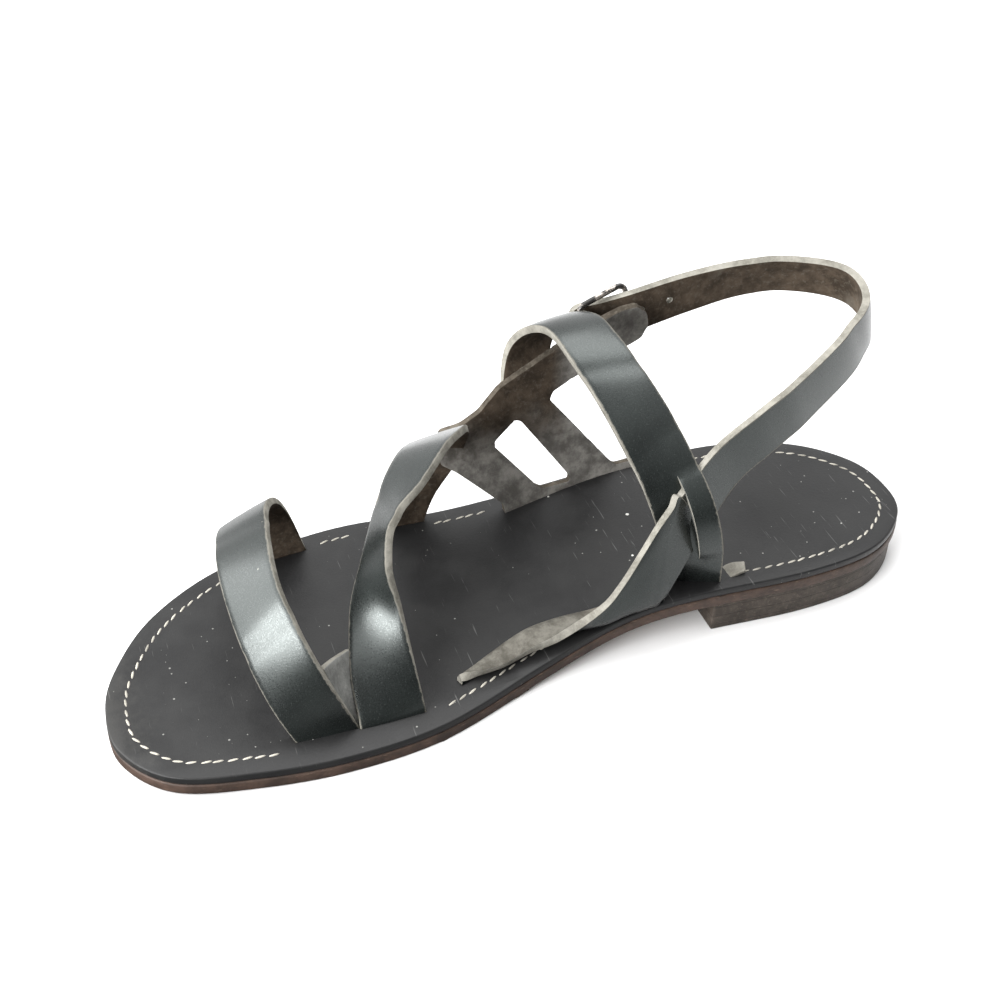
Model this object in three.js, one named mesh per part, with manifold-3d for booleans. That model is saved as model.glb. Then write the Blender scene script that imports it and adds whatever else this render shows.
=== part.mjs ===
// A right-foot flat gladiator sandal: leather straps let into a stitched leather sole.
// Millimetres, +Z up. The toe points along -Y, the heel along +Y, and +X is the inner
// (big-toe) side. The origin is on the floor under the middle of the bounding box.
import * as THREE from "three";
import Module from "manifold-3d";
import { mergeVertices } from "three/addons/utils/BufferGeometryUtils.js";

const wasm = await Module();
wasm.setup();

// ---- driving dimensions ----
const outsoleThick = 3.5;
const insoleThick = 2.3;
const strapThick = 2.2;
const gap = 0.3; // clearance between two pieces that touch
const heelLift = 10; // underside of the outsole above the floor, at the heel
const archStart = -25; // along the foot: where the underside leaves the floor
const archEnd = 50; // where it reaches the heel height
const heelFront = 49; // front face of the heel block
const heelInset = 0.8; // heel block inside the outsole edge
const toeSpring = 1.6; // rise of the toe tip
const springStart = -62; // where the toe begins to rise
const toeEnd = -122;
const toCentre = 2; // moves the whole sandal across, so that the origin is under its middle

// Outline of the sole seen from above, from the toe tip round the inner side to the heel
// and back up the outer side.
const soleOutline = [
  { side: 9, along: -122 },
  { side: 24, along: -120.5 },
  { side: 37, along: -109 },
  { side: 42.5, along: -88 },
  { side: 45, along: -64 },
  { side: 43, along: -38 },
  { side: 33.5, along: -8 },
  { side: 28, along: 21 },
  { side: 29.5, along: 50 },
  { side: 31, along: 80 },
  { side: 27.5, along: 103 },
  { side: 15.5, along: 118 },
  { side: 1, along: 121 },
  { side: -13, along: 117 },
  { side: -26.5, along: 103 },
  { side: -34, along: 80 },
  { side: -35, along: 50 },
  { side: -37.5, along: 21 },
  { side: -42, along: -9 },
  { side: -46.5, along: -39 },
  { side: -44, along: -65 },
  { side: -37, along: -87 },
  { side: -23, along: -106 },
  { side: -5, along: -118 },
];

// Each strap is a table of sections. A row gives the two edges of the strap's middle
// surface, front edge then back edge, as [across, along, up].
const toeStrap = [
  { front: [35, -75.5, 2], back: [35, -58.5, 2] },
  { front: [30, -80, 14.5], back: [33, -65, 22] },
  { front: [21, -83.5, 24.5], back: [25, -69.5, 33.5] },
  { front: [9, -85, 31.5], back: [12.5, -72, 41.5] },
  { front: [-4.5, -85, 35], back: [-2, -71, 44.5] },
  { front: [-18, -83, 34.5], back: [-17, -68.5, 43] },
  { front: [-29.5, -79.5, 28.5], back: [-29, -64, 35.5] },
  { front: [-36.5, -75.5, 17.5], back: [-37, -59.5, 22.5] },
  { front: [-39, -71.5, 2], back: [-40.5, -55, 2] },
];

// It twists as it rises, lies flat over the top of the foot and comes down on the outer side.
const crossStrap = [
  { front: [36, -59, 1.5], back: [35.8, -40.5, 1.5] },
  { front: [35.4, -58.8, 7], back: [35.2, -40.8, 8] },
  { front: [26.1, -58.1, 15.7], back: [29.9, -41.3, 18] },
  { front: [13.5, -54.1, 24.9], back: [21.4, -42, 30.1] },
  { front: [3, -47.4, 32.6], back: [15.7, -43, 41.6] },
  { front: [-4.4, -41.3, 42.4], back: [9.2, -39.6, 51] },
  { front: [-10.6, -35.7, 49.9], back: [3, -29.3, 56.5] },
  { front: [-18, -29.7, 51.2], back: [-8.3, -18.3, 58.8] },
  { front: [-26.5, -24.5, 46.2], back: [-21.4, -9, 52.4] },
  { front: [-35.2, -22.5, 38.8], back: [-33, -5, 41.4] },
  { front: [-40.8, -23.5, 30.8], back: [-38.5, -7, 28] },
  { front: [-42.3, -30, 19.6], back: [-40.3, -13.6, 16] },
  { front: [-42.3, -34.8, 2], back: [-41, -17.9, 2] },
];

// The gusset between the toe strap and the cross strap, at their shared slot.
const strapGusset = [
  { front: [34.4, -60.5, 2], back: [34.4, -57.3, 2] },
  { front: [33, -63.5, 12.5], back: [29.8, -59, 11.5] },
  { front: [30, -66.8, 25], back: [20, -57, 19.8] },
];

const instepStrap = [
  { front: [17, 38, 11], back: [24.5, 52.5, 11] },
  { front: [21, 35, 26.5], back: [26.5, 50.5, 29.5] },
  { front: [20.5, 32, 38.5], back: [23, 48, 42.5] },
  { front: [15.5, 29, 49.5], back: [15, 45, 53.5] },
  { front: [7, 25.5, 59.5], back: [4.5, 42, 62.5] },
  { front: [-4, 22.5, 67.5], back: [-7, 38.5, 70] },
  { front: [-16, 19.5, 73.5], back: [-19.5, 35.5, 75] },
  { front: [-28, 17.5, 75.5], back: [-32, 33.5, 75] },
  { front: [-37, 14, 71], back: [-43.5, 29, 68.5] },
  { front: [-41, 10.5, 63.5], back: [-45, 25.5, 60] },
  { front: [-38.8, 8, 54], back: [-38.8, 23, 52.5] },
  { front: [-38.8, 9, 43.5], back: [-38.7, 22.5, 50] },
];

// The heel strap from the slit in the instep strap, round the heel, to the buckle.
const heelStrap = [
  { front: [23.4, 33.5, 42.5], back: [25, 41, 29] },
  { front: [21, 38, 47.5], back: [21.5, 46.5, 34] },
  { front: [14.8, 51.5, 56], back: [15.2, 59, 43.2] },
  { front: [12.8, 65.8, 64.2], back: [12.8, 72, 50.6] },
  { front: [8.9, 81, 70.8], back: [8.2, 86.6, 57.2] },
  { front: [3, 95.9, 77.5], back: [1.5, 101.6, 63.6] },
  { front: [-5.5, 106.6, 81.4], back: [-8, 111.2, 67.8] },
  { front: [-17.5, 107.5, 84], back: [-20.5, 111.5, 71] },
  { front: [-27.5, 97.5, 84], back: [-32, 101, 71] },
  { front: [-34, 82.5, 82.5], back: [-38, 85.5, 69.5] },
  { front: [-37, 65.5, 80], back: [-39, 68, 66.5] },
  { front: [-39.2, 48, 76], back: [-39.4, 51.5, 62.8] },
  { front: [-41.4, 40, 73.6], back: [-41.4, 44, 60.3] },
  { front: [-44, 33, 71.4], back: [-44, 37, 58.1] },
  { front: [-44.2, 31.2, 67.5], back: [-44.2, 33.4, 60] },
];

// The heel strap's inner root: ribs that rise from its long slot, lean out over the sole's
// margin and turn up. The edge points run along the root's free front edge, and the last
// two ribs end across the strap.
const heelStrapRoot = [
  { slot: [29.6, -29, 3.5], crest: [29.4, -28.8, 6.6], fold: [29.4, -28.6, 7.2], edge: [29.4, -28.4, 7.8] },
  { slot: [25, -17, 3.5], crest: [25.2, -17, 9], fold: [27.6, -17, 9.3], edge: [30, -17.2, 8.6] },
  { slot: [21.8, -7, 4], crest: [22, -6.5, 10.8], fold: [25.6, -7, 11.8], edge: [29.3, -8, 11.2] },
  { slot: [20.2, 3.5, 5.5], crest: [21.2, 3.5, 11.4], fold: [25.6, 2, 12.2], edge: [29.6, 0.5, 14] },
  { slot: [21, 12.5, 8], crest: [22.4, 12.5, 12.6], fold: [28, 11.5, 14], edge: [28.8, 13, 20] },
  { slot: [21.2, 18, 9], crest: [22.8, 18, 13.6], fold: [28.7, 16.5, 15.2], edge: [27.9, 19, 26] },
  { slot: [21.2, 24, 10.5], crest: [22.8, 24, 14.8], fold: [28.8, 22, 17], edge: [26, 25.5, 34.5] },
  { slot: [21, 28, 11.5], crest: [22.6, 28, 15.6], fold: [28.8, 26, 17.8], edge: [24.2, 30.5, 40.8] },
  { slot: [20.6, 31, 12], crest: [22.2, 31, 16.2], fold: [28.6, 28.5, 18.2], edge: [22.4, 35, 45] },
  { slot: [20.4, 33, 12.5], crest: [22, 33, 16.8], fold: [28.4, 30.5, 18.4], edge: [21, 38, 47.5] },
  { slot: [20.4, 35, 13], crest: [22, 35, 17], fold: [27.9, 32.5, 18.6], edge: [21.6, 46.5, 34] },
];

// The outer side panel, drawn flat as [along, up]: a rail that climbs back to the buckle,
// standing on two slanting legs, with a window between them.
const railOutline = [
  [-13, 31], [-12.5, 42], [-5.5, 43], [0, 46.2], [6.3, 53.6], [17.8, 60.4], [23.7, 64],
  [37.3, 71.4], [43.5, 74], [48.5, 74.4], [51.8, 71.6], [53, 66.5], [51.2, 62.2],
  [46.6, 60], [30, 52.2], [23.4, 48.6], [22.4, 45.6], [42.5, 19.5], [44, 17.8],
  [52, 18.2], [52, 6], [7, 2], [6.2, 12.8], [-8, 27],
];
const railWindow = [
  [11.2, 41], [4.6, 35], [4.6, 32.6], [17.6, 16.4], [19.6, 15.2], [28.2, 15.6],
  [28.8, 17.2], [13, 40.4],
];
const railBase = -32.5; // across, at the sole
const railBulge = 4.5; // how far it bows out half way up
const railFoot = 12;
const railReach = 75;

// Buckle: its hinge bar, its slope along the strap, and its wire.
const hinge = [-40.3, 35, 64.5];
const buckleSlope = THREE.MathUtils.degToRad(17);
const buckleLength = 15.5; // between the middles of its two bars
const buckleWidth = 18.5;
const wire = 1.8;
const hingeToRear = 1.6; // how much further out the rear bar lies
const foldWidth = 13;
const foldThick = 1.1;
// The leather fold that holds the hinge bar, as [along the strap, across the body].
const foldPath = [
  [-8, -37.5], [-3, -37.9], [0, -38.25], [2.05, -40.3], [0, -42.3], [-3, -41.6], [-8, -38.4],
];
const prongPath = [
  [1.5, -42.1], [4.5, -42.6], [9, -43.4], [15.5, -43.9], [17, -43.5],
];
const prongWidth = 1.8;
const prongThick = 1.3;

const upperColour = 0x2f3436;
const fleshColour = 0x4a3f37;
const soleColour = 0x5a4a40;
const insoleColour = 0x26282a;
const metalColour = 0x3a3835;

// ---- solids ----
function toSolid(geometry) {
  const plain = geometry.clone();
  plain.deleteAttribute("normal");
  plain.deleteAttribute("uv");
  const merged = mergeVertices(plain, 1e-4);
  return new wasm.Manifold(
    new wasm.Mesh({
      numProp: 3,
      vertProperties: new Float32Array(merged.attributes.position.array),
      triVerts: new Uint32Array(merged.index.array),
    }),
  );
}

function toGeometry(solid) {
  const mesh = solid.getMesh();
  const geometry = new THREE.BufferGeometry();
  geometry.setAttribute("position", new THREE.BufferAttribute(mesh.vertProperties, 3));
  geometry.setIndex(new THREE.BufferAttribute(mesh.triVerts, 1));
  geometry.computeVertexNormals();
  return geometry;
}

// A closed solid from a grid of points on two faces, top[i][j] over bottom[i][j].
function sheetSolid(top, bottom) {
  const rows = top.length;
  const cols = top[0].length;
  const positions = [...top.flat(), ...bottom.flat()].flatMap((p) => [p.x, p.y, p.z]);
  const at = (i, j) => i * cols + j;
  const under = (i, j) => rows * cols + at(i, j);
  const faces = [];
  const quad = (a, b, c, d) => faces.push(a, b, c, a, c, d);
  for (let i = 0; i < rows - 1; i++)
    for (let j = 0; j < cols - 1; j++) {
      quad(at(i, j), at(i + 1, j), at(i + 1, j + 1), at(i, j + 1));
      quad(under(i, j), under(i, j + 1), under(i + 1, j + 1), under(i + 1, j));
    }
  for (let i = 0; i < rows - 1; i++) {
    quad(at(i, 0), under(i, 0), under(i + 1, 0), at(i + 1, 0));
    quad(at(i + 1, cols - 1), under(i + 1, cols - 1), under(i, cols - 1), at(i, cols - 1));
  }
  for (let j = 0; j < cols - 1; j++) {
    quad(at(0, j + 1), under(0, j + 1), under(0, j), at(0, j));
    quad(at(rows - 1, j), under(rows - 1, j), under(rows - 1, j + 1), at(rows - 1, j + 1));
  }
  const geometry = new THREE.BufferGeometry();
  geometry.setAttribute("position", new THREE.Float32BufferAttribute(positions, 3));
  geometry.setIndex(faces);
  return toSolid(geometry);
}

// Gives a grid of middle-surface points its thickness along the surface normal.
function thicken(grid, thickness) {
  const rows = grid.length;
  const cols = grid[0].length;
  const face = (side) =>
    grid.map((row, i) =>
      row.map((p, j) => {
        const along = grid[Math.min(i + 1, rows - 1)][j]
          .clone()
          .sub(grid[Math.max(i - 1, 0)][j]);
        const across = row[Math.min(j + 1, cols - 1)].clone().sub(row[Math.max(j - 1, 0)]);
        const normal = along.cross(across).normalize();
        return p.clone().addScaledVector(normal, (side * thickness) / 2);
      }),
    );
  return sheetSolid(face(1), face(-1));
}

// A strap: both edges run as smooth curves through the rows, and widen moves them apart.
function strapSolid(rows, { thickness = strapThick, widen = 0, steps = 4, across = 2 } = {}) {
  const edge = (key) =>
    new THREE.CatmullRomCurve3(rows.map((row) => new THREE.Vector3(...row[key])));
  const front = edge("front");
  const back = edge("back");
  const count = (rows.length - 1) * steps;
  const grid = [];
  for (let i = 0; i <= count; i++) {
    const a = front.getPoint(i / count);
    const b = back.getPoint(i / count);
    const out = b.clone().sub(a).setLength(widen);
    a.sub(out);
    b.add(out);
    grid.push(Array.from({ length: across + 1 }, (_, j) => a.clone().lerp(b, j / across)));
  }
  return thicken(grid, thickness);
}

// ---- the sole's own curves ----
function smoothStep(t) {
  const u = THREE.MathUtils.clamp(t, 0, 1);
  return u * u * (3 - 2 * u);
}

// Height of the outsole's underside at a place along the foot.
function underside(along) {
  const arch = heelLift * smoothStep((along - archStart) / (archEnd - archStart));
  const toe = THREE.MathUtils.clamp((springStart - along) / (springStart - toeEnd), 0, 1.1);
  return arch + toeSpring * toe * toe;
}
const outsoleTop = (along) => underside(along) + outsoleThick;
const insoleBottom = (along) => outsoleTop(along) + gap;
const insoleTop = (along) => insoleBottom(along) + insoleThick;

// A slab as long and wide as the foot, between two heights that change along it.
function footSlab(bottomAt, topAt) {
  const halfWidth = 70;
  const halfLength = 140;
  const step = 4;
  const face = (heightAt) => {
    const grid = [];
    for (let y = -halfLength; y <= halfLength; y += step)
      grid.push([-halfWidth, halfWidth].map((x) => new THREE.Vector3(x, y, heightAt(y))));
    return grid;
  };
  return sheetSolid(face(topAt).reverse(), face(bottomAt).reverse());
}

function outlineShape(inset) {
  const curve = new THREE.CatmullRomCurve3(
    soleOutline.map((p) => new THREE.Vector3(p.side, p.along, 0)),
    true,
  );
  const count = 110;
  const points = [];
  for (let i = 0; i < count; i++) {
    const t = i / count;
    const p = curve.getPoint(t);
    const tangent = curve.getTangent(t);
    points.push(new THREE.Vector2(p.x - tangent.y * inset, p.y + tangent.x * inset));
  }
  return new THREE.Shape(points);
}

function outlinePrism(inset) {
  const height = 60;
  const geometry = new THREE.ExtrudeGeometry(outlineShape(inset), {
    depth: height,
    bevelEnabled: false,
  });
  geometry.translate(0, 0, -height / 3);
  return toSolid(geometry);
}

function boxSolid(min, max) {
  const size = max.map((v, i) => v - min[i]);
  const geometry = new THREE.BoxGeometry(...size);
  geometry.translate(...min.map((v, i) => v + size[i] / 2));
  return toSolid(geometry);
}

// ---- the upper's special forms ----
function rootSolid({ thickness = strapThick, widen = 0 } = {}) {
  const keys = ["slot", "crest", "fold", "edge"];
  const lines = keys.map(
    (key) => new THREE.CatmullRomCurve3(heelStrapRoot.map((row) => new THREE.Vector3(...row[key]))),
  );
  const ribs = (heelStrapRoot.length - 1) * 3;
  const risers = 9;
  const grid = [];
  for (let i = 0; i <= ribs; i++) {
    const rib = new THREE.CatmullRomCurve3(lines.map((line) => line.getPoint(i / ribs)));
    const row = Array.from({ length: risers + 1 }, (_, j) => rib.getPoint(j / risers));
    const end = i === 0 ? -1 : i === ribs ? 1 : 0;
    row.forEach((p) => (p.y += end * widen));
    grid.push(row);
  }
  return thicken(grid, thickness);
}

const railAcross = (up) =>
  railBase - railBulge * Math.sin((Math.PI * (up - railFoot)) / railReach);

function prismAcross(points, from, to) {
  const shape = new THREE.Shape(points.map(([along, up]) => new THREE.Vector2(along, up)));
  const geometry = new THREE.ExtrudeGeometry(shape, { depth: to - from, bevelEnabled: false });
  geometry.applyMatrix4(
    new THREE.Matrix4().makeBasis(
      new THREE.Vector3(0, 1, 0),
      new THREE.Vector3(0, 0, 1),
      new THREE.Vector3(1, 0, 0),
    ),
  );
  geometry.translate(from, 0, 0);
  return toSolid(geometry);
}

function railSheet(thickness) {
  const grid = [];
  for (let up = -4; up <= 84; up += 4)
    grid.push([-20, 60].map((along) => new THREE.Vector3(railAcross(up), along, up)));
  return thicken(grid, thickness);
}

// A point beside the hinge bar: along the strap, across the strap, and across the body.
function atBuckle(along, across, x) {
  const c = Math.cos(buckleSlope);
  const s = Math.sin(buckleSlope);
  return [x, hinge[1] + along * c - across * s, hinge[2] + along * s + across * c];
}

function bandOverBuckle(path, width, thickness) {
  const rows = path.map(([along, x]) => ({
    front: atBuckle(along, width / 2, x),
    back: atBuckle(along, -width / 2, x),
  }));
  return strapSolid(rows, { thickness, across: 1 });
}

// A round-wire rectangle with rounded corners, its rear bar leaning outward.
function buckleFrameSolid() {
  const corner = 2.4;
  const side = buckleWidth / 2;
  const points = [];
  for (const [endX, endY, turn] of [
    [buckleLength, side, 0],
    [0, side, 1],
    [0, -side, 2],
    [buckleLength, -side, 3],
  ])
    for (let k = 0; k <= 4; k++) {
      const angle = ((turn + k / 4) * Math.PI) / 2;
      const along = endX + Math.sign(buckleLength / 2 - endX) * corner + corner * Math.cos(angle);
      const across = endY - Math.sign(endY) * corner + corner * Math.sin(angle);
      const x = hinge[0] - (hingeToRear * along) / buckleLength;
      points.push(new THREE.Vector3(...atBuckle(along, across, x)));
    }
  const path = new THREE.CatmullRomCurve3(points, true);
  return toSolid(new THREE.TubeGeometry(path, 64, wire / 2, 8, true));
}

// ---- the pieces ----
const outline = outlinePrism(0);
const outsole = footSlab(underside, outsoleTop).intersect(outline);
const heelBlock = footSlab(() => 0, (y) => underside(y) - gap)
  .intersect(outlinePrism(heelInset))
  .intersect(boxSolid([-60, heelFront, -5], [60, 130, 40]));

const belowInsole = footSlab(() => -20, insoleBottom);
const slotCut = { thickness: strapThick + 2 * gap, widen: gap };
const slotEnds = [toeStrap, crossStrap, instepStrap, strapGusset].map((rows) => rows.slice(0, 3));
slotEnds.push(toeStrap.slice(-2), crossStrap.slice(-2));
const railSlot = railSheet(slotCut.thickness).intersect(boxSolid([-50, 6, 0], [-20, 52.5, 30]));
const insole = slotEnds
  .reduce(
    (solid, rows) => solid.subtract(strapSolid(rows, slotCut)),
    footSlab(insoleBottom, insoleTop).intersect(outline),
  )
  .subtract(rootSolid(slotCut))
  .subtract(railSlot);

const prong = bandOverBuckle(prongPath, prongWidth, prongThick);
const prongRoom = bandOverBuckle(prongPath, prongWidth + 2 * gap, prongThick + 2 * gap);
const buckleFrame = buckleFrameSolid();

const heelBand = strapSolid(heelStrap)
  .add(rootSolid())
  .subtract(belowInsole)
  .subtract(prongRoom);
const heelBandRoom = strapSolid(heelStrap, slotCut).add(rootSolid(slotCut));
const rail = railSheet(strapThick)
  .intersect(prismAcross(railOutline, -60, 0))
  .subtract(prismAcross(railWindow, -60, 0));
const upper = strapSolid(toeStrap)
  .add(strapSolid(crossStrap))
  .add(strapSolid(strapGusset))
  .add(rail)
  .add(strapSolid(instepStrap))
  .add(bandOverBuckle(foldPath, foldWidth, foldThick))
  .subtract(heelBandRoom)
  .subtract(prongRoom)
  .subtract(belowInsole);

// ---- the sandal ----
const sandal = new THREE.Group();

function addPiece(name, solid, colour, roughness, metalness) {
  const placed = solid.translate([toCentre, 0, 0]);
  const material = new THREE.MeshStandardMaterial({ color: colour, roughness, metalness });
  const mesh = new THREE.Mesh(toGeometry(placed), material);
  mesh.name = name;
  sandal.add(mesh);
}

addPiece("outsole", outsole, soleColour, 0.8, 0);
addPiece("insole", insole, insoleColour, 0.5, 0);
addPiece("heel_block", heelBlock, soleColour, 0.8, 0);
addPiece("upper", upper, upperColour, 0.45, 0);
addPiece("heel_strap", heelBand, fleshColour, 0.45, 0);
addPiece("buckle_frame", buckleFrame, metalColour, 0.3, 1);
addPiece("buckle_prong", prong, metalColour, 0.3, 1);

export default sandal;
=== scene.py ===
# %% [markdown]
# # A flat gladiator sandal
# One leather sandal for the right foot. Flat straps go down through slots in a stitched
# leather insole, and a strap from the inner side runs round the heel to a small buckle on
# the outer side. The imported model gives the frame: metres, +Z up, the toe along -Y and the
# big-toe side along +X. The cells below remake each piece with the softness and the wear
# of real leather, and then light it.

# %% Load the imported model
import math
import random
import bmesh
import bpy
from mathutils import Matrix, Vector


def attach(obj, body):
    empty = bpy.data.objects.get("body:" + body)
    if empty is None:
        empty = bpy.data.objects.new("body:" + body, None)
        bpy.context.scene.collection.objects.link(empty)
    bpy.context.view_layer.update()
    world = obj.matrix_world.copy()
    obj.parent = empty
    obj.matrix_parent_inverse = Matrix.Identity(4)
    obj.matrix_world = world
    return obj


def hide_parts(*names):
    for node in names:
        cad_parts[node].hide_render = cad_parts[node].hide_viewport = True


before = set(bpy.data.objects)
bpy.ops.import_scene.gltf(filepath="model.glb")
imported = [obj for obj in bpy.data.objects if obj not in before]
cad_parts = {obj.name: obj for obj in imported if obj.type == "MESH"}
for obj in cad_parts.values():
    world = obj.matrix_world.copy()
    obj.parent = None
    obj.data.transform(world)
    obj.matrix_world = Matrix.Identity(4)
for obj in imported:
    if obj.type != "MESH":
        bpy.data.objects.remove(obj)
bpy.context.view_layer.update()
MM = 0.001
print("CAD nodes:", sorted(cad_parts))

# %% [markdown]
# The camera comes first, because every later choice of detail depends on what it sees. It
# looks down on the inner side of the sandal from about 40 degrees, fairly close, so the
# toe looks a little larger than the heel.

# %% Camera
CAMERA = {"azimuth": 69.9, "elevation": 39.0, "roll": 0.3, "distance": 0.4154, "lens": 49.14}
AIM = Vector((-23.7, 2.9, 20)) * MM


def place_camera():
    az, el, roll = (math.radians(CAMERA[k]) for k in ("azimuth", "elevation", "roll"))
    back = Vector((math.sin(az) * math.cos(el), -math.cos(az) * math.cos(el), math.sin(el)))
    right = Vector((0, 0, 1)).cross(back).normalized()
    up = back.cross(right)
    turned_right = right * math.cos(roll) + up * math.sin(roll)
    turned_up = up * math.cos(roll) - right * math.sin(roll)
    camera = bpy.data.objects.new("camera", bpy.data.cameras.new("camera"))
    bpy.context.collection.objects.link(camera)
    axes = Matrix((turned_right, turned_up, back)).transposed().to_4x4()
    camera.matrix_world = Matrix.Translation(AIM + back * CAMERA["distance"]) @ axes
    camera.data.lens = CAMERA["lens"]
    camera.data.clip_start = 0.01
    bpy.context.scene.camera = camera
    return camera


print("camera at", [round(v, 3) for v in place_camera().matrix_world.translation])

# %% [markdown]
# A product table. Dark leather only reads by what it mirrors, so each light is a soft pane
# with a job: a large one for the general light, one overhead that the instep strap mirrors,
# and two low beyond the toe, the brighter one for the streaks where the straps turn. The
# surround is bright behind the sandal and dark on the near side, which leaves the near side
# of each strap black. The floor and the surround are white to look at, whatever they are in
# the leather's mirror.

# %% Floor and light
FLOOR_RADIUS = 3.0


def pale_when_seen(tree, otherwise, pale):
    path = tree.nodes.new("ShaderNodeLightPath")
    blend = tree.nodes.new("ShaderNodeMix")
    blend.data_type = "RGBA"
    blend.inputs[7].default_value = (pale, pale, pale, 1)
    tree.links.new(path.outputs["Is Camera Ray"], blend.inputs[0])
    tree.links.new(otherwise, blend.inputs[6])
    return blend.outputs[2]


def from_dark_to_bright(tree, place, toward, darkest, brightest):
    lean = tree.nodes.new("ShaderNodeVectorMath")
    lean.operation = "DOT_PRODUCT"
    lean.inputs[1].default_value = toward
    tree.links.new(place, lean.inputs[0])
    shade = tree.nodes.new("ShaderNodeMapRange")
    shade.interpolation_type = "SMOOTHSTEP"
    ranges = {"From Min": -1, "From Max": 1, "To Min": darkest, "To Max": brightest}
    for label, value in ranges.items():
        shade.inputs[label].default_value = value
    tree.links.new(lean.outputs["Value"], shade.inputs["Value"])
    return shade.outputs["Result"]


def pale_floor():
    bm = bmesh.new()
    bmesh.ops.create_circle(bm, segments=96, radius=FLOOR_RADIUS, cap_ends=True)
    mesh = bpy.data.meshes.new("floor")
    bm.to_mesh(mesh)
    bm.free()
    floor = bpy.data.objects.new("floor", mesh)
    bpy.context.collection.objects.link(floor)
    paint = bpy.data.materials.new("pale floor")
    paint.use_nodes = True
    tree = paint.node_tree
    shader = tree.nodes["Principled BSDF"]
    place = tree.nodes.new("ShaderNodeTexCoord").outputs["Object"]
    # Painted shade for the leather's mirror: to every ray but the camera's, the floor is dark on
    # the near side and pale behind. The near side of each strap therefore mirrors darkness, while
    # the camera sees the floor evenly pale.
    shade = from_dark_to_bright(tree, place, (-3, 5, 0), 0.05, 0.95)
    tree.links.new(pale_when_seen(tree, shade, 0.74), shader.inputs["Base Color"])
    shader.inputs["Roughness"].default_value = 0.9
    shader.inputs["Specular IOR Level"].default_value = 0.1
    mesh.materials.append(paint)
    return floor


def soft_surround():
    surround = bpy.data.worlds.new("surround")
    surround.use_nodes = True
    tree = surround.node_tree
    direction = tree.nodes.new("ShaderNodeTexCoord").outputs["Generated"]
    shade = from_dark_to_bright(tree, direction, (-0.9, 0.1, 0.45), 0.03, 1.35)
    tree.links.new(pale_when_seen(tree, shade, 1.0), tree.nodes["Background"].inputs["Color"])
    bpy.context.scene.world = surround
    return surround


def soft_light(name, place, aim, size, power):
    lamp = bpy.data.lights.new(name, "AREA")
    lamp.shape = "RECTANGLE"
    lamp.size, lamp.size_y = size
    lamp.energy = power
    light = bpy.data.objects.new(name, lamp)
    bpy.context.collection.objects.link(light)
    light.location = place
    light.rotation_mode = "QUATERNION"
    light.rotation_quaternion = (Vector(aim) - Vector(place)).to_track_quat("-Z", "Y")
    return light


pale_floor()
soft_surround()
soft_light("large pane", (-0.14, -0.48, 0.88), (0, 0, 0.03), (1.15, 0.85), 10)
soft_light("overhead pane", (-0.24, 0.28, 0.88), (0, 0.03, 0.07), (0.6, 0.5), 5.5)
soft_light("low pane", (-0.3, -0.82, 0.42), (0, -0.06, 0.04), (0.72, 0.4), 6.5)
soft_light("streak pane", (0.36, -0.76, 0.36), (0, -0.04, 0.03), (0.56, 0.3), 14.5)
bpy.context.scene.view_settings.view_transform = "Standard"

# %% [markdown]
# Every strap and every edge follows a curve through a few measured places. One helper
# turns such a list of places into an even run of points: a Catmull-Rom curve, which passes
# through all of them and bends gently between.

# %% Smooth lines through a few places
def smooth_line(places, steps, closed=False):
    pts = [Vector(p) for p in places]
    count = len(pts)
    spans = count if closed else count - 1

    def pick(i):
        if closed:
            return pts[i % count]
        if i < 0:
            return pts[0] * 2 - pts[1]
        if i >= count:
            return pts[-1] * 2 - pts[-2]
        return pts[i]

    line = []
    for i in range(spans):
        a, b, c, d = (pick(i + k) for k in (-1, 0, 1, 2))
        for s in range(steps):
            t = s / steps
            line.append(
                (
                    2 * b
                    + (c - a) * t
                    + (2 * a - 5 * b + 4 * c - d) * t * t
                    + (3 * b - a - 3 * c + d) * t ** 3
                ) / 2
            )
    if not closed:
        line.append(pts[-1].copy())
    return line


def lengths_along(line):
    total = [0.0]
    for a, b in zip(line, line[1:]):
        total.append(total[-1] + (b - a).length)
    return total


def add_piece(name, mesh, nodes=()):
    piece = bpy.data.objects.new(name, mesh)
    bpy.context.collection.objects.link(piece)
    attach(piece, "root")
    if nodes:
        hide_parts(*nodes)
    return piece


print("a test line has", len(smooth_line([(0, 0, 0), (1, 0, 0), (1, 1, 0)], 4)), "points")

# %% [markdown]
# The sole is a sandwich: a rough brown outsole, a thinner dark insole on it, and a low
# block under the heel. All three have the same outline, so one closed curve is drawn once.
# The underside lies flat under the ball of the foot and rises in the arch to the height of
# the heel block.

# %% Outline and height of the sole
SOLE_OUTLINE = [  # side, along (mm): from the toe tip round the inner side and back
    (11, -122), (26, -120.5), (39, -109), (44.5, -88), (47, -64), (45, -38),
    (35.5, -8), (30, 21), (31.5, 50), (33, 80), (29.5, 103), (17.5, 118),
    (3, 121), (-11, 117), (-24.5, 103), (-32, 80), (-33, 50), (-35.5, 21),
    (-40, -9), (-44.5, -39), (-42, -65), (-35, -87), (-21, -106), (-3, -118),
]
OUTSOLE_THICK, INSOLE_THICK, SEAM = 3.5, 2.3, 0.3
HEEL_LIFT, ARCH_START, ARCH_END, HEEL_FRONT = 10, -25, 50, 49
TOE_SPRING, SPRING_START, TOE_END = 1.6, -62, -122


def underside(along):
    t = min(max((along - ARCH_START) / (ARCH_END - ARCH_START), 0), 1)
    toe = min(max((SPRING_START - along) / (SPRING_START - TOE_END), 0), 1.1)
    return HEEL_LIFT * t * t * (3 - 2 * t) + TOE_SPRING * toe * toe


def insole_top(along):
    return underside(along) + OUTSOLE_THICK + SEAM + INSOLE_THICK


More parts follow.
